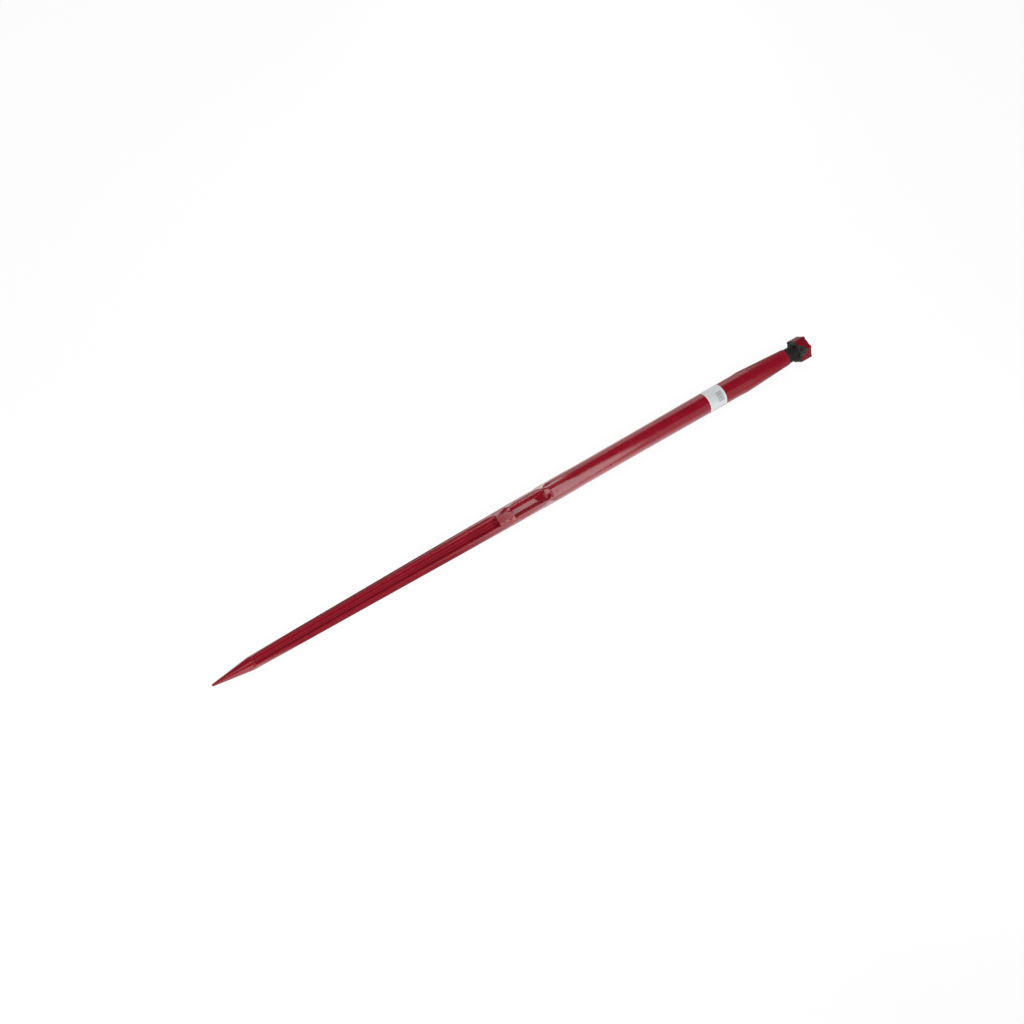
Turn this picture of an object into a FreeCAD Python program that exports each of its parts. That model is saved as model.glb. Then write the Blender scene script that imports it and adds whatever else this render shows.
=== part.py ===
"""Bale spear: a forged steel tine with a tapered seat, a threaded stud and a hexagon nut.

Frame: millimetres, X along the spear with its point at -X and the nut at +X, +Z up.
The origin is on the axis at the big end of the tapered seat, where the seat meets the shaft.
The spear lies level, with its label turned up and towards -Y.
"""
import FreeCAD, Part
import math
import os
import re

import Sketcher

Vector = FreeCAD.Vector

# Each size is set once here. Lengths are in millimetres and angles in degrees.
# A station called "..._ahead" is a distance from the origin towards the point.
SIZES = {
    # whole spear
    "overall_length": 1400,
    # point
    "nose_length": 86,
    "nose_blunt_dia": 4.4,
    "nose_base_dia": 26.4,
    # tapering front, the swell behind the recesses and the round shaft
    "front_dia": 40.8,
    "front_ahead": 468,
    "swell_dia": 42,
    "swell_front_ahead": 456,
    "swell_rear_ahead": 420,
    "shaft_dia": 41,
    "shaft_front_ahead": 372,
    "shaft_rear_ahead": 20,
    "collar_dia": 42.4,
    "collar_length": 5,
    # tapered seat and stud
    "seat_small_dia": 31,
    "seat_length": 103,
    "stud_dia": 28,
    "stud_length": 49,
    "stud_chamfer": 2,
    # flutes on two opposite sides of the front
    "flute_turn": 17,
    "flute_start_gap": 4,
    "flute_wall_angle": 57,
    "flute_front_web": 10.8,
    "flute_rear_web": 16,
    "flute_front_radius": 4.6,
    "flute_rear_radius": 6,
    "flute_edge_radius": 1.5,
    # flat lands behind the flutes, falling a little towards the point, and the ribs behind them
    "land_rear_height": 37.8,
    "land_front_height": 34.8,
    "land_length": 34,
    "land_overlap": 2,
    "rib_width": 3,
    # recesses with a round rear end and a curved ramp
    "recess_front_ahead": 561,
    "recess_centre_ahead": 487.5,
    "recess_web": 15,
    "recess_floor_width": 8.4,
    "recess_wall_angle": 50,
    "ramp_front_ahead": 506,
    "ramp_radius": 48,
    "recess_corner_radius": 2,
    "recess_rim_radius": 1.5,
    "cutter_height": 24,
    # hexagon nut
    "nut_across_flats": 41,
    "nut_height": 25,
    "nut_turn": 5,
    "nut_face_dia": 38.5,
    "nut_corner_angle": 30,
    "nut_bore_chamfer": 1,
    "stud_projection": 1,
    "thread_clearance": 0.05,
    # paper label
    "label_ahead": 56,
    "label_length": 39,
    "label_arc": 221,
    # turn about the axis from +Y towards +Z
    "label_start": -40,
    "label_thickness": 0.15,
    "label_glue": 0.02,
}

# Sizes that follow from the ones above.
FORMULAS = {
    "stud_end": "=seat_length + stud_length",
    "tip_ahead": "=overall_length - stud_end",
    "nose_base_ahead": "=tip_ahead - nose_length",
    "nut_rear": "=stud_end - stud_projection",
    "nut_front": "=nut_rear - nut_height",
    "land_rear_ahead": "=recess_front_ahead + rib_width",
    "land_front_ahead": "=land_rear_ahead + land_length",
    "flute_rear_ahead": "=land_front_ahead - land_overlap",
    "flute_front_ahead": "=nose_base_ahead - flute_start_gap",
}

doc = FreeCAD.newDocument("bale_spear")
sheet = doc.addObject("Spreadsheet::Sheet", "Sizes")
for row, (alias, value) in enumerate(list(SIZES.items()) + list(FORMULAS.items()), start=1):
    sheet.set(f"A{row}", alias)
    sheet.set(f"B{row}", str(value))
    sheet.setAlias(f"B{row}", alias)
doc.recompute()


def now(formula):
    """The present value of a formula of the sheet's cells, such as "stud_dia / 2"."""
    return float(sheet.evalExpression(formula))


def bind(feature, target, formula):
    """Ties a property or a dimension to a formula of the sheet's cells."""
    cells = set(SIZES) | set(FORMULAS)
    words = re.sub("[a-z_]+", lambda word: "Sizes." * (word[0] in cells) + word[0], formula)
    feature.setExpression(target, words)


def new_body(name):
    body = doc.addObject("PartDesign::Body", name)
    body.Label = name
    return body


def new_sketch(body, name, role, offset=None):
    """A sketch on one of the body's own planes, moved along its normal by a formula."""
    sketch = body.newObject("Sketcher::SketchObject", name)
    plane = next(item for item in body.Origin.OriginFeatures if item.Role == role)
    sketch.AttachmentSupport = [(plane, "")]
    sketch.MapMode = "FlatFace"
    if offset:
        bind(sketch, "AttachmentOffset.Base.z", offset)
    return sketch


def hold(sketch, kind, formula, *ends):
    """One dimension of a sketch, bound to a formula."""
    index = sketch.addConstraint(Sketcher.Constraint(kind, *ends, now(formula)))
    bind(sketch, f"Constraints[{index}]", formula)


def hold_point(sketch, edge, end, x_formula, y_formula):
    """Holds a point by its distances from the origin. A formula of "0" puts it on the axis.

    A leading minus puts the point on the negative side, at the size that follows the sign.
    """
    for kind, formula, axis in (("DistanceX", x_formula, -2), ("DistanceY", y_formula, -1)):
        if formula == "0":
            sketch.addConstraint(Sketcher.Constraint("PointOnObject", edge, end, axis))
        elif formula.startswith("-"):
            hold(sketch, kind, formula[1:], edge, end, -1, 1)
        else:
            hold(sketch, kind, formula, -1, 1, edge, end)


def add_chain(sketch, corners, bulge=None):
    """A closed chain of edges through corners, each an (x formula, y formula) pair.

    The edges are straight, apart from one arc: bulge is (its number, its middle point as
    formulas, the formula of its radius).
    """
    first = sketch.GeometryCount
    count = len(corners)
    spots = [Vector(now(x), now(y), 0) for x, y in corners]
    for index in range(count):
        start, end = spots[index], spots[(index + 1) % count]
        if bulge and bulge[0] == index:
            middle = Vector(now(bulge[1][0]), now(bulge[1][1]), 0)
            sketch.addGeometry(Part.Arc(start, middle, end), False)
        else:
            sketch.addGeometry(Part.LineSegment(start, end), False)
    # An arc is kept counter-clockwise, so the end that meets each corner is looked up.
    for index, (x_formula, y_formula) in enumerate(corners):
        here = spots[index]
        near = [end for end in (1, 2) if sketch.getPoint(first + index, end).isEqual(here, 1e-6)]
        before = first + (index - 1) % count
        far = [end for end in (1, 2) if sketch.getPoint(before, end).isEqual(here, 1e-6)]
        sketch.addConstraint(Sketcher.Constraint("Coincident", before, far[0], first + index, near[0]))
        hold_point(sketch, first + index, near[0], x_formula, y_formula)
    if bulge:
        hold(sketch, "Radius", bulge[2], first + bulge[0])


# ---- spear_forging: the tine with its seat and stud, forged and turned from one bar ----

spear = new_body("spear_forging")
outline = new_sketch(spear, "turned_outline", "XY_Plane")
add_chain(outline, [
    ("-tip_ahead", "0"),
    ("-tip_ahead", "nose_blunt_dia / 2"),
    ("-nose_base_ahead", "nose_base_dia / 2"),
    ("-front_ahead", "front_dia / 2"),
    ("-swell_front_ahead", "swell_dia / 2"),
    ("-swell_rear_ahead", "swell_dia / 2"),
    ("-shaft_front_ahead", "shaft_dia / 2"),
    ("-shaft_rear_ahead", "shaft_dia / 2"),
    ("-collar_length", "collar_dia / 2"),
    ("0", "collar_dia / 2"),
    ("seat_length", "seat_small_dia / 2"),
    ("seat_length", "stud_dia / 2"),
    ("stud_end", "stud_dia / 2"),
    ("stud_end", "0"),
])
turned = spear.newObject("PartDesign::Revolution", "turned_bar")
turned.Profile = outline
turned.ReferenceAxis = (outline, ["H_Axis"])
turned.Angle = 360
outline.Visibility = False
doc.recompute()


def flute_section(name, ahead, web, radius):
    """The flute's cross-section: a round floor with two straight walls that open outwards."""
    sketch = new_sketch(spear, name, "YZ_Plane", f"-{ahead}")
    slope = "(flute_wall_angle * 1deg)"
    foot = f"{radius} * sin{slope}"
    foot_height = f"{web} / 2 + {radius} * (1 - cos{slope})"
    mouth = f"{foot} + (cutter_height - {foot_height}) / tan{slope}"
    corners = [
        (f"-({mouth})", "cutter_height"),
        (f"-({foot})", foot_height),
        (foot, foot_height),
        (mouth, "cutter_height"),
    ]
    add_chain(sketch, corners, bulge=(1, ("0", f"{web} / 2"), radius))
    return sketch


flute = spear.newObject("PartDesign::SubtractiveLoft", "flute")
flute.Profile = flute_section("flute_front", "flute_front_ahead", "flute_front_web", "flute_front_radius")
flute.Sections = [flute_section("flute_rear", "flute_rear_ahead", "flute_rear_web", "flute_rear_radius")]
flute.Ruled = True
doc.recompute()

other_flute = spear.newObject("PartDesign::Mirrored", "other_flute")
other_flute.Originals = [flute]
other_flute.MirrorPlane = (next(i for i in spear.Origin.OriginFeatures if i.Role == "XY_Plane"), [""])
spear.Tip = other_flute
doc.recompute()

lands = new_sketch(spear, "land_outlines", "XZ_Plane")
for sign in ("", "-"):
    add_chain(lands, [
        ("-land_front_ahead", f"{sign}land_front_height / 2"),
        ("-land_rear_ahead", f"{sign}land_rear_height / 2"),
        ("-land_rear_ahead", f"{sign}cutter_height"),
        ("-land_front_ahead", f"{sign}cutter_height"),
    ])
land_cut = spear.newObject("PartDesign::Pocket", "lands")
land_cut.Profile = lands
land_cut.Type = "ThroughAll"
land_cut.Midplane = True
doc.recompute()


TOUCH = 0.01
bar = turned.Shape


def spots_on(edge):
    low, high = edge.ParameterRange
    return [Part.Vertex(edge.valueAt(low + (high - low) * share)) for share in (0.1, 0.5, 0.9)]


def is_rim(edge):
    """Whether a cut left this edge on the outside of the turned bar."""
    spots = spots_on(edge)
    on_bar = all(bar.Shells[0].distToShape(spot)[0] < TOUCH for spot in spots)
    old = any(all(line.distToShape(spot)[0] < TOUCH for spot in spots) for line in bar.Edges)
    return on_bar and not old


def edges_between(body, low, high, wanted):
    """Names of the wanted edges of a body that lie between two places along X."""
    names = []
    for number, edge in enumerate(body.Tip.Shape.Edges, start=1):
        box = edge.BoundBox
        if low - TOUCH < box.XMin and box.XMax < high + TOUCH and wanted(edge):
            names.append(f"Edge{number}")
    return names


def dress(body, kind, name, edges, target, formula):
    """A fillet or a chamfer on named edges."""
    feature = body.newObject(f"PartDesign::{kind}", name)
    feature.Base = (feature.BaseFeature, edges)
    bind(feature, target, formula)
    doc.recompute()
    return feature


def is_flute_edge(edge):
    """The flute's rims, and the corners where its trough meets its two end walls."""
    box = edge.BoundBox
    at_land = box.XMin > -now("flute_rear_ahead") - TOUCH
    flat_end = box.XLength < TOUCH
    under_land = max(box.ZMax, -box.ZMin) < now("land_front_height") / 2 - TOUCH
    return not at_land if is_rim(edge) else flat_end and under_land


flute_span = (-now("flute_front_ahead"), -now("flute_rear_ahead"))
for name, side in (("flute_edges", 1), ("other_flute_edges", -1)):
    chosen = edges_between(spear, *flute_span,
                           lambda edge: is_flute_edge(edge) and edge.CenterOfMass.z * side > 0)
    dress(spear, "Fillet", name, chosen, "Radius", "flute_edge_radius")


def recess_outline(tool, name, height, half_width):
    """A slot seen from above: straight across in front, and a half circle behind."""
    sketch = new_sketch(tool, name, "XY_Plane", height)
    front, centre, half = -now("recess_front_ahead"), -now("recess_centre_ahead"), now(half_width)
    across, side, end, other_side = range(4)
    sketch.addGeometry([
        Part.LineSegment(Vector(front, half, 0), Vector(front, -half, 0)),
        Part.LineSegment(Vector(front, -half, 0), Vector(centre, -half, 0)),
        Part.ArcOfCircle(Part.Circle(Vector(centre, 0, 0), Vector(0, 0, 1), half), -math.pi / 2, math.pi / 2),
        Part.LineSegment(Vector(centre, half, 0), Vector(front, half, 0)),
    ], False)
    sketch.addConstraint([
        Sketcher.Constraint("Coincident", across, 2, side, 1),
        Sketcher.Constraint("Tangent", side, 2, end, 1),
        Sketcher.Constraint("Tangent", end, 2, other_side, 1),
        Sketcher.Constraint("Coincident", other_side, 2, across, 1),
        Sketcher.Constraint("Vertical", across),
        Sketcher.Constraint("Horizontal", side),
        Sketcher.Constraint("Horizontal", other_side),
        Sketcher.Constraint("PointOnObject", end, 3, -1),
    ])
    hold(sketch, "DistanceX", "recess_front_ahead", across, 1, -1, 1)
    hold(sketch, "DistanceX", "recess_centre_ahead", end, 3, -1, 1)
    hold(sketch, "Radius", half_width, end)
    return sketch


def recess_tool(name):
    tool = new_body(name)
    floor_half = "recess_floor_width / 2"
    spread = "(cutter_height - recess_web / 2) / tan(recess_wall_angle * 1deg)"
    walls = tool.newObject("PartDesign::AdditiveLoft", name + "_walls")
    walls.Profile = recess_outline(tool, name + "_floor", "recess_web / 2", floor_half)
    walls.Sections = [recess_outline(tool, name + "_mouth", "cutter_height", f"{floor_half} + {spread}")]
    walls.Ruled = True
    doc.recompute()
    ramp = new_sketch(tool, name + "_ramp", "XZ_Plane")
    rise = "(cutter_height - recess_web / 2)"
    run = f"sqrt(ramp_radius^2 - (ramp_radius - {rise})^2)"
    bend = "(ramp_radius * (1 - cos(20deg)))"
    corners = [
        ("-ramp_front_ahead", "recess_web / 2"),
        (f"-(ramp_front_ahead - {run})", "cutter_height"),
        ("-(ramp_front_ahead - ramp_radius)", "cutter_height"),
        ("-(ramp_front_ahead - ramp_radius)", "recess_web / 2"),
    ]
    middle = ("-ramp_front_ahead + ramp_radius * sin(20deg)", f"recess_web / 2 + {bend}")
    add_chain(ramp, corners, bulge=(0, middle, "ramp_radius"))
    trim = tool.newObject("PartDesign::Pocket", name + "_trim")
    trim.Profile = ramp
    trim.Type = "ThroughAll"
    trim.Midplane = True
    doc.recompute()
    return tool


tools = [recess_tool("upper_recess"), recess_tool("lower_recess")]
tools[1].Placement = FreeCAD.Placement(Vector(0, 0, 0), FreeCAD.Rotation(Vector(1, 0, 0), 180))
recesses = spear.newObject("PartDesign::Boolean", "recesses")
recesses.Type = "Cut"
recesses.setObjects(tools)
doc.recompute()

recess_span = (-now("recess_front_ahead"), -now("front_ahead"))
inner_edges = edges_between(spear, *recess_span, lambda edge: not is_rim(edge))
dress(spear, "Fillet", "recess_corners", inner_edges, "Radius", "recess_corner_radius")
rim_edges = edges_between(spear, *recess_span, is_rim)
dress(spear, "Fillet", "recess_rims", rim_edges, "Radius", "recess_rim_radius")

tip_edges = edges_between(spear, -now("tip_ahead"), -now("tip_ahead"), lambda edge: True)
dress(spear, "Fillet", "blunt_point", tip_edges, "Radius", "nose_blunt_dia * 0.4")
end_edges = edges_between(spear, now("stud_end"), now("stud_end"), lambda edge: True)
dress(spear, "Chamfer", "stud_lead", end_edges, "Size", "stud_chamfer")


# ---- hex_nut: chamfered at its corners and at both mouths of its bore ----

nut = new_body("hex_nut")
hexagon = new_sketch(nut, "nut_hexagon", "YZ_Plane", "nut_front")
half_flat = "nut_across_flats / 2"
half_side = "nut_across_flats / 2 * tan(30deg)"
corner = "nut_across_flats / 2 / cos(30deg)"
add_chain(hexagon, [
    (f"-({half_side})", f"-({half_flat})"),
    (half_side, f"-({half_flat})"),
    (corner, "0"),
    (half_side, half_flat),
    (f"-({half_side})", half_flat),
    (f"-({corner})", "0"),
])
blank = nut.newObject("PartDesign::Pad", "nut_blank")
blank.Profile = hexagon
bind(blank, "Length", "nut_height")
doc.recompute()

corners_cut = new_sketch(nut, "nut_corner_outlines", "XY_Plane")
face = "nut_face_dia / 2"
reach = "(nut_across_flats - nut_face_dia / 2)"
depth = "(nut_across_flats - nut_face_dia) * tan(nut_corner_angle * 1deg)"
for end, inward in (("nut_front", "+"), ("nut_rear", "-")):
    add_chain(corners_cut, [
        (end, face),
        (f"{end} {inward} {depth}", reach),
        (end, reach),
    ])
bevels = nut.newObject("PartDesign::Groove", "nut_corner_bevels")
bevels.Profile = corners_cut
bevels.ReferenceAxis = (corners_cut, ["H_Axis"])
bevels.Angle = 360
doc.recompute()

bore_circle = new_sketch(nut, "nut_bore_circle", "YZ_Plane", "nut_front")
bore_radius = now("stud_dia / 2 + thread_clearance")
bore_circle.addGeometry(Part.Circle(Vector(), Vector(0, 0, 1), bore_radius), False)
bore_circle.addConstraint(Sketcher.Constraint("Coincident", 0, 3, -1, 1))
hold(bore_circle, "Radius", "stud_dia / 2 + thread_clearance", 0)
bore = nut.newObject("PartDesign::Pocket", "nut_bore")
bore.Profile = bore_circle
bore.Type = "ThroughAll"
bore.Midplane = True
doc.recompute()


def is_bore_mouth(edge):
    return isinstance(edge.Curve, Part.Circle) and edge.Curve.Radius < bore_radius + TOUCH


mouths = edges_between(nut, now("nut_front"), now("nut_rear"), is_bore_mouth)
dress(nut, "Chamfer", "nut_bore_leads", mouths, "Size", "nut_bore_chamfer")


# ---- label: a paper strip wrapped round the shaft ----

label = new_body("label")
strip = new_sketch(label, "label_section", "XY_Plane")
inner = "shaft_dia / 2 + label_glue"
add_chain(strip, [
    ("-(label_ahead + label_length)", inner),
    ("-label_ahead", inner),
    ("-label_ahead", f"{inner} + label_thickness"),
    ("-(label_ahead + label_length)", f"{inner} + label_thickness"),
])
wrap = label.newObject("PartDesign::Revolution", "label_wrap")
wrap.Profile = strip
wrap.ReferenceAxis = (strip, ["H_Axis"])
bind(wrap, "Angle", "label_arc")
doc.recompute()

# ---- places, checks and files ----

for body, turn in ((spear, "flute_turn"), (nut, "nut_turn"), (label, "label_start")):
    body.Placement = FreeCAD.Placement(Vector(), FreeCAD.Rotation(Vector(1, 0, 0), now(turn)))
doc.recompute()

for item in doc.Objects:
    if "Invalid" in item.State or "Error" in item.State:
        raise RuntimeError(f"{item.Label} failed: {item.State}")

pieces = [spear, nut, label]
for piece in pieces:
    if piece.Shape.isNull() or not piece.Shape.isValid() or len(piece.Shape.Solids) != 1:
        raise RuntimeError(f"{piece.Label} is not one sound solid")

os.makedirs("parts", exist_ok=True)
for piece in pieces:
    piece.Shape.exportStep(f"parts/{piece.Label}.step")
    print(f"{piece.Label}: {piece.Shape.Volume / 1000:.1f} cm3")
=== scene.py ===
# %% [markdown]
# # A bale spear
#
# A bale spear is a steel tine, about as long as a child is tall, that a loader pushes into a
# round bale. One bar is forged and turned into a point, a fluted front, a round shaft, a tapered
# seat and a threaded stud. A hexagon nut pulls the seat tight into its sleeve.
#
# The solids are already made and packed. This script only dresses them: it loads them as a
# fixed frame, gives each its finish, and sets the camera and the lights.

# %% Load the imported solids
import math

import bmesh
import bpy
from mathutils import Matrix, Vector


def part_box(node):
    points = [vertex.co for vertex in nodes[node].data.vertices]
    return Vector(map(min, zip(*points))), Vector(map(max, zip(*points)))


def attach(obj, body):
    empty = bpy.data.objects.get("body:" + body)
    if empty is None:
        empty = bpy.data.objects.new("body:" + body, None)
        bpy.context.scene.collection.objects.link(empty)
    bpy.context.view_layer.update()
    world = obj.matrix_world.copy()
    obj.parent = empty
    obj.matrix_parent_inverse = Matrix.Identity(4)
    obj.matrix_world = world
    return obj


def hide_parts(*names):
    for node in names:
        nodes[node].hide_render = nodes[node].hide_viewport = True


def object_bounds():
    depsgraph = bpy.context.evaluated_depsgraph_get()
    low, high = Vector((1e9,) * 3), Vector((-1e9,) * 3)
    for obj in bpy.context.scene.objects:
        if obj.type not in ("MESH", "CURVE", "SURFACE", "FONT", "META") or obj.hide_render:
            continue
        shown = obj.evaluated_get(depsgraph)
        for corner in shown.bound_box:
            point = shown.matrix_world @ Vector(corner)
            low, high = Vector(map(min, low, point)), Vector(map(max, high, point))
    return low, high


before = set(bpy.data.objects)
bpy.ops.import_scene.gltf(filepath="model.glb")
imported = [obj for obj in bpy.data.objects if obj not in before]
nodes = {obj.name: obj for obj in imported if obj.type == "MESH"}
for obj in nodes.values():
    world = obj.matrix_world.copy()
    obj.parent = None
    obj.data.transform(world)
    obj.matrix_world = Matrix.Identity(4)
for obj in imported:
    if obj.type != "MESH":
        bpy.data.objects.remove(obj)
cad_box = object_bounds()
for name in nodes:
    low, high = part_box(name)
    print(name, [round((high[i] - low[i]) * 1000, 1) for i in range(3)], "mm")

# %% [markdown]
# ## Camera
#
# A long thin object is seen best along its diagonal. The camera stands far away with a long
# lens, so the bar keeps almost the same width from end to end. Three angles place it: how far it
# leans towards the point, how far it goes round the bar from straight above, and the slope of
# the bar in the picture. Building the view from the bar's own directions is easier than
# searching for a position by eye.

# %% Camera
CAMERA_DISTANCE = 15.0
LEAN_TO_POINT = math.radians(27.87)
ROUND_THE_BAR = math.radians(20.0)
SLOPE_IN_VIEW = math.radians(29.8)
AIM = Vector((-0.553, 0.0028, 0.0010))

along = Vector((1, 0, 0))
outward = Vector((0, -math.sin(ROUND_THE_BAR), math.cos(ROUND_THE_BAR)))
downhill = Vector((0, -math.cos(ROUND_THE_BAR), -math.sin(ROUND_THE_BAR)))
to_camera = outward * math.cos(LEAN_TO_POINT) - along * math.sin(LEAN_TO_POINT)
bar_in_view = along * math.cos(LEAN_TO_POINT) + outward * math.sin(LEAN_TO_POINT)
right = bar_in_view * math.cos(SLOPE_IN_VIEW) + downhill * math.sin(SLOPE_IN_VIEW)
up = bar_in_view * math.sin(SLOPE_IN_VIEW) - downhill * math.cos(SLOPE_IN_VIEW)

camera = bpy.data.objects.new("camera", bpy.data.cameras.new("camera"))
bpy.context.scene.collection.objects.link(camera)
camera.data.sensor_width = 36
camera.data.lens = 290.95
camera.data.clip_start = 1
camera.data.clip_end = 100
turn = Matrix((right, up, to_camera)).transposed()
camera.matrix_world = Matrix.Translation(AIM + to_camera * CAMERA_DISTANCE) @ turn.to_4x4()
bpy.context.scene.camera = camera

# %% [markdown]
# ## Helpers for meshes
#
# Every piece made here is a bmesh turned into an object that sits at the origin, with its place
# in its mesh. Smooth shading makes a round bar look round, but it also bends the light on a broad
# flat that meets a small rounded edge. So the broad flats are found first: faces that lie in one
# plane are gathered, and a gathering that is wide for its rim is a flat. Its rim is marked sharp,
# and so is every edge that turns steeply. The mesh itself isn't changed by this.

# %% Helper: find the broad flats of a mesh
FLAT_TURN = math.radians(0.3)
FLAT_WIDTH = 0.0035


def broad_flats(bm):
    """The faces that belong to broad flats, and not to the narrow strips of a curve."""
    flats, unseen = set(), set(bm.faces)
    while unseen:
        plane = {unseen.pop()}
        front = list(plane)
        while front:
            for edge in front.pop().edges:
                for other in edge.link_faces:
                    if other in unseen and edge.calc_face_angle(1) < FLAT_TURN:
                        unseen.discard(other)
                        plane.add(other)
                        front.append(other)
        area = sum(face.calc_area() for face in plane)
        rim = sum(edge.calc_length() for face in plane for edge in face.edges
                  if any(other not in plane for other in edge.link_faces))
        if rim and area / rim > FLAT_WIDTH:
            flats |= plane
    return flats


# %% Helper: finish a mesh
SHARP_TURN = math.radians(32)
SLIGHT_TURN = math.radians(1)


def make_piece(bm, name):
    """Turns a bmesh into an object that rides on the root body."""
    bm.normal_update()
    flats = broad_flats(bm)
    for face in bm.faces:
        face.smooth = True
    for edge in bm.edges:
        turned = edge.calc_face_angle(0) if len(edge.link_faces) == 2 else 0
        beside_flat = any(face in flats for face in edge.link_faces)
        edge.smooth = turned < (SLIGHT_TURN if beside_flat else SHARP_TURN)
    print(name, "has", len(bm.faces), "faces,", len(flats), "of them on broad flats")
    mesh = bpy.data.meshes.new(name)
    bm.to_mesh(mesh)
    bm.free()
    piece = bpy.data.objects.new(name, mesh)
    bpy.context.scene.collection.objects.link(piece)
    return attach(piece, "root")


def merged_copy(node):
    """A CAD solid's mesh as a bmesh whose triangles are joined at their corners."""
    bm = bmesh.new()
    bm.from_mesh(nodes[node].data)
    bmesh.ops.remove_doubles(bm, verts=bm.verts, dist=1e-6)
    bmesh.ops.dissolve_degenerate(bm, dist=1e-6, edges=bm.edges)
    return bm


# %% [markdown]
# ## The threaded stud
#
# The solid has a plain stud. The real one has a fine thread, M28 with a pitch of 1.5 mm. One
# tooth of its profile is drawn and spun round the bar, and each step also slides it a little
# along, so that after one turn it has moved by exactly one pitch. The strips of neighbouring
# turns then meet, and merging their doubles makes one continuous screw.

# %% Thread
STUD_RADIUS = 0.014
PITCH = 0.0015
THREAD_DEPTH = 0.00092
STEPS_A_TURN = 40
SEAT_LENGTH = 0.103
stud_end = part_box("spear_forging")[1].x

turns = math.ceil((stud_end - SEAT_LENGTH) / PITCH) + 2
thread = bmesh.new()
profile = [(0, THREAD_DEPTH), (0.18, THREAD_DEPTH), (0.5, 0), (0.68, 0), (1, THREAD_DEPTH)]
start = SEAT_LENGTH - PITCH
corners = [thread.verts.new((start + share * PITCH, 0, STUD_RADIUS - depth)) for share, depth in profile]
edges = [thread.edges.new(pair) for pair in zip(corners, corners[1:])]
bmesh.ops.spin(
    thread, geom=corners + edges, cent=(0, 0, 0), axis=(1, 0, 0),
    dvec=(PITCH / STEPS_A_TURN, 0, 0), angle=math.tau * turns, steps=STEPS_A_TURN * turns,
)
bmesh.ops.remove_doubles(thread, verts=thread.verts, dist=2e-6)
print("thread:", turns, "turns,", len(thread.faces), "faces")

# %% Trim the thread to the stud and close its ends
LEAD = 0.002
for place, side in ((SEAT_LENGTH, -1), (stud_end, 1)):
    everything = thread.verts[:] + thread.edges[:] + thread.faces[:]
    cut = bmesh.ops.bisect_plane(thread, geom=everything, plane_co=(place, 0, 0),
                                 plane_no=(side, 0, 0), clear_outer=True)
    rim = [item for item in cut["geom_cut"] if isinstance(item, bmesh.types.BMEdge)]
    bmesh.ops.contextual_create(thread, geom=rim)
for vert in thread.verts:
    radius = math.hypot(vert.co.y, vert.co.z)
    allowed = STUD_RADIUS - max(0, vert.co.x - (stud_end - LEAD))
    if radius > allowed:
        vert.co.y *= allowed / radius
        vert.co.z *= allowed / radius
bmesh.ops.recalc_face_normals(thread, faces=thread.faces)

# %% [markdown]
# ## The forged bar
#
# The flutes, lands and recesses are already cut in the solid. A copy of its mesh is merged, the
# plain stud is cut away, and the threaded one takes its place, so that the bar stays one piece.

# %% Forged bar with its thread
bar = merged_copy("spear_forging")
everything = bar.verts[:] + bar.edges[:] + bar.faces[:]
bmesh.ops.bisect_plane(bar, geom=everything, plane_co=(SEAT_LENGTH + 0.0002, 0, 0),
                       plane_no=(1, 0, 0), clear_outer=True)
stud = bpy.data.meshes.new("stud")
thread.to_mesh(stud)
thread.free()
bar.from_mesh(stud)
bpy.data.meshes.remove(stud)
spear = make_piece(bar, "spear")
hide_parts("spear_forging")

# %% [markdown]
# ## The nut and the label
#
# Both keep the shape of their solids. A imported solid's mesh is loose triangles that can't be
# shaded smoothly, so a merged copy of each stands for it: the nut's bore and chamfers then look
# turned, and the label curls round the bar in one sheet.

# %% Nut and label
nut = make_piece(merged_copy("hex_nut"), "nut")
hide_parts("hex_nut")
sticker = make_piece(merged_copy("label"), "sticker")
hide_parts("label")

# %% [markdown]
# ## A small kit for node trees
#
# Materials are built from a few kinds of node again and again. These helpers add a node and join
# its inputs in one line, so that a material below reads like a recipe.

# %% Helper: add and join nodes
def link(tree, value, socket):
    """Joins an output to an input, or sets the input to a plain value."""
    if isinstance(value, bpy.types.NodeSocket):
        tree.links.new(value, socket)
    else:
        socket.default_value = value


def add(tree, kind, settings=None, **inputs):
    """Adds a node. Inputs are named with underscores for spaces, or _0, _1 for their order."""
    node = tree.nodes.new(kind)
    for key, value in (settings or {}).items():
        setattr(node, key, value)
    for key, value in inputs.items():
        numbered = key[0] == "_" and key[1:].isdigit()
        link(tree, value, node.inputs[int(key[1:]) if numbered else key.replace("_", " ")])
    return node


def new_group(name, inputs, outputs):
    """A shader node group with named number inputs and number outputs."""
    group = bpy.data.node_groups.new(name, "ShaderNodeTree")
    for title, default in inputs:
        socket = group.interface.new_socket(title, in_out="INPUT", socket_type="NodeSocketFloat")
        socket.default_value = default
    for title in outputs:
        group.interface.new_socket(title, in_out="OUTPUT", socket_type="NodeSocketFloat")
    return group, group.nodes.new("NodeGroupInput"), group.nodes.new("NodeGroupOutput")


def new_material(name):
    material = bpy.data.materials.new(name)
    material.use_nodes = True
    tree = material.node_tree
    return material, tree, tree.nodes["Principled BSDF"]


def finish_with(piece, material):
    """Gives a piece one material."""
    piece.data.materials.clear()
    piece.data.materials.append(material)
    print(piece.name, "is finished in", material.name, "with", len(material.node_tree.nodes), "nodes")


def srgb(code):
    """A hex colour as the linear numbers that a shader takes."""
    parts = [int(code[i:i + 2], 16) / 255 for i in (0, 2, 4)]
    return tuple(c / 12.92 if c <= 0.04045 else ((c + 0.055) / 1.055) ** 2.4 for c in parts) + (1,)


# %% Helper: numbers and colours in a node tree
def math_node(tree, operation, *values):
    node = add(tree, "ShaderNodeMath", {"operation": operation})
    for socket, value in zip(node.inputs, values):
        link(tree, value, socket)
    return node.outputs[0]


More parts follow.
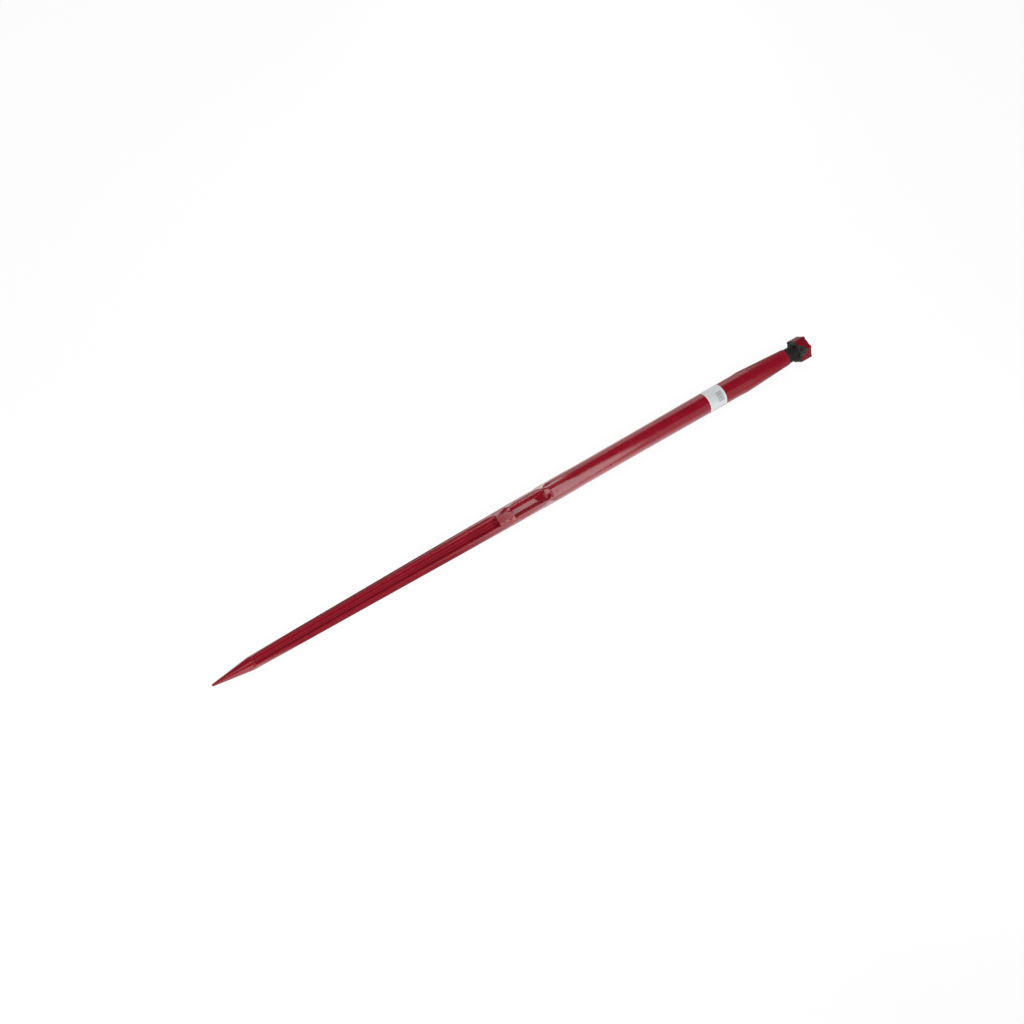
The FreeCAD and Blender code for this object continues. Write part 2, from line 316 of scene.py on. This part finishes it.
def ramp(tree, value, low, high, start=0.0, end=1.0):
    """Runs from start to end while value runs from low to high, and stays level outside."""
    return add(tree, "ShaderNodeMapRange", Value=value, From_Min=low, From_Max=high,
               To_Min=start, To_Max=end).outputs[0]


def band(tree, value, low, high, soft):
    """1 between low and high, 0 outside, with soft edges."""
    rise = ramp(tree, value, low - soft, low + soft)
    fall = ramp(tree, value, high - soft, high + soft, 1.0, 0.0)
    return math_node(tree, "MULTIPLY", rise, fall)


def blend(tree, share, first, second):
    """A colour between two others."""
    node = add(tree, "ShaderNodeMix", {"data_type": "RGBA"}, Factor=share)
    link(tree, first, node.inputs[6])
    link(tree, second, node.inputs[7])
    return node.outputs[2]


def object_xyz(tree):
    place = add(tree, "ShaderNodeTexCoord").outputs["Object"]
    return place, add(tree, "ShaderNodeSeparateXYZ", Vector=place).outputs


# %% [markdown]
# ## The uneven surface of forged steel
#
# Hot forging leaves steel faintly wavy, and thick paint dries with a fine orange peel. Two noises
# of different size make both. They are one node group with its own inputs, because the paint, the
# nut and the label all use it at their own scale. Its height tilts the surface a little, which
# breaks up long reflections, and its patches vary the colour and the gloss.

# %% Group: uneven forging
uneven, given, made = new_group(
    "uneven_forging", [("Peel Size", 0.002), ("Forging Size", 0.02)], ["Height", "Patches"],
)
place, _ = object_xyz(uneven)
peel_scale = math_node(uneven, "DIVIDE", 1.0, given.outputs["Peel Size"])
forging_scale = math_node(uneven, "DIVIDE", 1.0, given.outputs["Forging Size"])
peel = add(uneven, "ShaderNodeTexNoise", Vector=place, Scale=peel_scale, Detail=2.0).outputs["Fac"]
waves = add(uneven, "ShaderNodeTexNoise", Vector=place, Scale=forging_scale, Detail=3.0).outputs["Fac"]
link(uneven, math_node(uneven, "MULTIPLY_ADD", waves, 4.0, peel), made.inputs["Height"])
link(uneven, waves, made.inputs["Patches"])
print("group", uneven.name, "has", len(uneven.nodes), "nodes")


# %% Helper: use the group in a material
def uneven_surface(tree, shader, peel_size, forging_size, strength, depth):
    """Adds the group and its bump, and returns the patches."""
    surface = add(tree, "ShaderNodeGroup", {"node_tree": uneven},
                  Peel_Size=peel_size, Forging_Size=forging_size)
    bump = add(tree, "ShaderNodeBump", Strength=strength, Distance=depth,
               Height=surface.outputs["Height"])
    link(tree, bump.outputs[0], shader.inputs["Normal"])
    return surface.outputs["Patches"]


# %% [markdown]
# ## Dark red paint, and bare steel on the thread
#
# The bar is painted a glossy dark red up to the end of its seat, and its thread is left as
# blackened steel so that the nut runs on it. One material holds both, because the bar is one
# piece. The line between them is ragged, as masking leaves it: the patches shift it a little.

# %% Material: paint and bare thread
PAINT_DARK, PAINT_LIGHT = srgb("780b1c"), srgb("820f20")
STEEL_DARK, STEEL_LIGHT = srgb("171413"), srgb("2e2a29")
MASKING_RAGGED = 0.008

paint, tree, shader = new_material("painted_steel")
patches = uneven_surface(tree, shader, 0.003, 0.03, 0.2, 0.00003)
place, xyz = object_xyz(tree)
share = ramp(tree, patches, 0.3, 0.7)
ragged = math_node(tree, "MULTIPLY_ADD", patches, MASKING_RAGGED, xyz[0])
on_thread = ramp(tree, ragged, SEAT_LENGTH + 0.0025, SEAT_LENGTH + 0.0050)
link(tree, blend(tree, on_thread, blend(tree, share, PAINT_DARK, PAINT_LIGHT),
                 blend(tree, share, STEEL_DARK, STEEL_LIGHT)), shader.inputs["Base Color"])
paint_gloss = ramp(tree, patches, 0.3, 0.7, 0.12, 0.15)
link(tree, math_node(tree, "MULTIPLY_ADD", on_thread, 0.32, paint_gloss), shader.inputs["Roughness"])
finish_with(spear, paint)

# %% [markdown]
# ## The nut's finish
#
# The nut was black before the bar was sprayed, so it has black steel on its front face and on a
# wedge along one corner, and red overspray on the rest. How deep the black reaches is a ramp on
# the direction round the nut, widest at that corner, and the patches make its border ragged.

# %% Material: nut
BARE_CORNER = math.radians(35)
NUT_RED_DARK, NUT_RED_LIGHT, NUT_STEEL_LIGHT = srgb("66091a"), srgb("7c0c1c"), srgb("3a3635")

steel, tree, shader = new_material("nut_steel")
patches = uneven_surface(tree, shader, 0.002, 0.008, 0.3, 0.00005)
place, xyz = object_xyz(tree)
spoke = add(tree, "ShaderNodeCombineXYZ", Y=xyz[1], Z=xyz[2]).outputs[0]
unit = add(tree, "ShaderNodeVectorMath", {"operation": "NORMALIZE"}, _0=spoke).outputs[0]
corner = (0, -math.sin(BARE_CORNER), math.cos(BARE_CORNER))
near_corner = add(tree, "ShaderNodeVectorMath", {"operation": "DOT_PRODUCT"}, _0=unit, _1=corner)
black_depth = ramp(tree, near_corner.outputs["Value"], 0.80, 1.0, 0.002, 0.015)
depth = math_node(tree, "SUBTRACT", xyz[0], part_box("hex_nut")[0].x)
beyond = math_node(tree, "SUBTRACT", depth, black_depth)
ragged = math_node(tree, "MULTIPLY_ADD", patches, 0.006, beyond)
painted = ramp(tree, ragged, 0.0025, 0.0040)
share = ramp(tree, patches, 0.3, 0.7)
link(tree, blend(tree, painted, blend(tree, share, STEEL_DARK, NUT_STEEL_LIGHT),
                 blend(tree, share, NUT_RED_DARK, NUT_RED_LIGHT)), shader.inputs["Base Color"])
link(tree, ramp(tree, painted, 0, 1, 0.38, 0.2), shader.inputs["Roughness"])
finish_with(nut, steel)

# %% [markdown]
# ## The label's print
#
# A satin paper label is wrapped over the bar. It carries nothing that can be read: a block of
# plain bars and a few faint rules stand in for print. The bars are a one-way noise on the angle
# round the bar, cut to black and white, and the rules are a wave along it.

# %% Material: label
LABEL_MIDDLE = math.radians(110)
PAPER, INK = srgb("bfc1c3"), srgb("55595d")

paper, tree, shader = new_material("label_paper")
patches = uneven_surface(tree, shader, 0.0015, 0.010, 0.25, 0.00002)
place, xyz = object_xyz(tree)
angle = math_node(tree, "ARCTAN2", xyz[2], xyz[1])
round_label = math_node(tree, "SUBTRACT", angle, LABEL_MIDDLE)
stripes = add(tree, "ShaderNodeTexNoise", {"noise_dimensions": "1D"},
              W=round_label, Scale=42.0, Detail=1.0).outputs["Fac"]
block = math_node(tree, "MULTIPLY", band(tree, xyz[0], -0.0750, -0.0615, 0.0002),
                  band(tree, round_label, -0.35, 0.58, 0.01))
bars = math_node(tree, "MULTIPLY", block, ramp(tree, stripes, 0.46, 0.50, 0.0, 0.75))
wave = add(tree, "ShaderNodeTexWave", {"wave_type": "BANDS", "bands_direction": "X"},
           Vector=place, Scale=95.0).outputs["Fac"]
column = math_node(tree, "MULTIPLY", band(tree, xyz[0], -0.0910, -0.0765, 0.0002),
                   band(tree, round_label, -0.55, 0.35, 0.01))
rules = math_node(tree, "MULTIPLY", column, ramp(tree, wave, 0.75, 0.85, 0.0, 0.35))
link(tree, blend(tree, math_node(tree, "MAXIMUM", bars, rules), PAPER, INK), shader.inputs["Base Color"])
link(tree, ramp(tree, patches, 0.3, 0.7, 0.36, 0.46), shader.inputs["Roughness"])
finish_with(sticker, paper)

# %% [markdown]
# ## Floor
#
# The bar lies on a plain white floor. The eye sees it white, with a faint shadow under the bar:
# most of its colour for the camera is a glow, and the rest takes light and shade. Glossy paint
# mirrors the floor along its lower side, so mirrored rays see a painted pool of light: a glow
# that is bright beside the shaft and dim beside the flutes, painted as a lamp would light it.

# %% Floor
bm = bmesh.new()
bmesh.ops.create_grid(bm, x_segments=1, y_segments=1, size=30)
bmesh.ops.translate(bm, verts=bm.verts, vec=(0, 0, cad_box[0].z))
mesh = bpy.data.meshes.new("floor")
bm.to_mesh(mesh)
bm.free()
floor = bpy.data.objects.new("floor", mesh)
bpy.context.scene.collection.objects.link(floor)

# %% Material: floor
FLOOR_START, FLOOR_END, FLOOR_BRIGHTEST = -1.3, 0.3, 3.0
# Painted light: the floor's glow for mirrored rays, a pool of light painted along X, bright beside the
# shaft and dim beside the flutes.
PAINTED_POOL_OF_LIGHT = [(-1.13, 0.50), (-1.04, 0.05), (-0.68, 0.05), (-0.42, 0.78),
                    (-0.24, 0.72), (0.0, 0.30), (0.1, 0.10)]
WHITE_GLOW, GLOW_SHARE = 1.03, 0.88

ground, tree, shader = new_material("floor")
shader.inputs["Base Color"].default_value = (0.8, 0.8, 0.8, 1)
shader.inputs["Roughness"].default_value = 0.9
shader.inputs["Specular IOR Level"].default_value = 0
place, xyz = object_xyz(tree)
shade = add(tree, "ShaderNodeValToRGB", Fac=ramp(tree, xyz[0], FLOOR_START, FLOOR_END))
while len(shade.color_ramp.elements) < len(PAINTED_POOL_OF_LIGHT):
    shade.color_ramp.elements.new(0.5)
for element, (x, _) in zip(shade.color_ramp.elements, PAINTED_POOL_OF_LIGHT):
    element.position = (x - FLOOR_START) / (FLOOR_END - FLOOR_START)
for element, (_, level) in zip(shade.color_ramp.elements, PAINTED_POOL_OF_LIGHT):
    element.color = (level, level, level, 1)
painted_mirrored_light = math_node(tree, "MULTIPLY", shade.outputs["Color"], FLOOR_BRIGHTEST)
ray = add(tree, "ShaderNodeLightPath").outputs
strength = add(tree, "ShaderNodeMix", {"data_type": "FLOAT"},
               Factor=ray["Is Camera Ray"], _2=painted_mirrored_light, _3=WHITE_GLOW).outputs[0]
mirrored = math_node(tree, "MAXIMUM", ray["Is Glossy Ray"], ray["Is Transmission Ray"])
seen = math_node(tree, "MULTIPLY_ADD", ray["Is Camera Ray"], GLOW_SHARE, mirrored)
mix = add(tree, "ShaderNodeMixShader", Fac=seen)
link(tree, shader.outputs[0], mix.inputs[1])
link(tree, add(tree, "ShaderNodeEmission", Strength=strength).outputs[0], mix.inputs[2])
link(tree, mix.outputs[0], tree.nodes["Material Output"].inputs["Surface"])
finish_with(floor, ground)

# %% [markdown]
# ## Lights
#
# On glossy paint a light is seen as its own mirror image. A long box in front makes the pale band
# on the shaft, a small one behind catches the ribs, and dim cards fill the rest. A light is placed
# by saying where on the bar its image should sit, how far it leans towards the nut, and how far it
# is swung round the bar from the upper side. Its strength is how bright its face would look.

# %% Helper: a soft box
def soft_box(name, station, lean, swing, distance, size, radiance):
    """A rectangular area light, seen from a station on the bar."""
    lean, swing = math.radians(lean), math.radians(swing)
    across = outward * math.cos(swing) + downhill * math.sin(swing)
    away = across * math.cos(lean) + along * math.sin(lean)
    light = bpy.data.lights.new(name, "AREA")
    light.shape = "RECTANGLE"
    light.size, light.size_y = size
    light.energy = radiance * math.pi * size[0] * size[1]
    box = bpy.data.objects.new(name, light)
    bpy.context.scene.collection.objects.link(box)
    side = (along - away * away.x).normalized()
    turned = Matrix((side, away.cross(side), away)).transposed().to_4x4()
    box.matrix_world = Matrix.Translation(along * station + away * distance) @ turned
    print(name, "gives", round(light.energy, 2), "W")


# %% Soft boxes
LEAN = 27.9
soft_box("front_box", -0.43, LEAN, 31.5, 1.0, (0.27, 2.26), 4.0)
soft_box("rear_box", -0.55, LEAN, -67, 1.0, (0.16, 0.25), 4.5)
soft_box("rear_card", -0.2, LEAN, -90, 1.0, (0.6, 0.65), 1.3)
soft_box("rear_strip", -0.82, LEAN, -62, 1.0, (0.7, 0.75), 0.5)
soft_box("front_strip", -0.85, LEAN, 45, 1.0, (0.7, 0.54), 0.45)
soft_box("nut_card", -0.08, LEAN, 45, 1.0, (0.45, 0.9), 0.6)
soft_box("tip_front", -1.19, 10.7, 60, 1.0, (0.3, 0.9), 2.2)
soft_box("tip_top", -1.19, 10.7, -14, 1.0, (0.3, 0.45), 1.4)
soft_box("point_box", -0.95, -38, 12, 1.3, (0.9, 0.9), 4.2)

# %% [markdown]
# ## World
#
# The world fills the shade evenly, is white to the camera and through glass, and is nearly dark
# to glossy rays from above, so that the paint keeps its depth between the mirrored boxes.

# %% World
WORLD_FILL = 0.55
world = bpy.data.worlds.new("studio")
bpy.context.scene.world = world
world.use_nodes = True
tree = world.node_tree
direction = add(tree, "ShaderNodeTexCoord").outputs["Generated"]
height = add(tree, "ShaderNodeVectorMath", {"operation": "DOT_PRODUCT"}, _0=direction, _1=outward)
backdrop = ramp(tree, height.outputs["Value"], 0.35, 0.65, 0.12, 0.02)
ray = add(tree, "ShaderNodeLightPath").outputs
fill = add(tree, "ShaderNodeMix", {"data_type": "FLOAT"},
           Factor=ray["Is Glossy Ray"], _2=WORLD_FILL, _3=backdrop).outputs[0]
white = math_node(tree, "MAXIMUM", ray["Is Camera Ray"], ray["Is Transmission Ray"])
background = tree.nodes["Background"]
background.inputs["Color"].default_value = (1, 1, 1, 1)
link(tree, math_node(tree, "MAXIMUM", fill, white), background.inputs["Strength"])
print("world fill", WORLD_FILL)

# %% Colour
bpy.context.scene.view_settings.view_transform = "Standard"
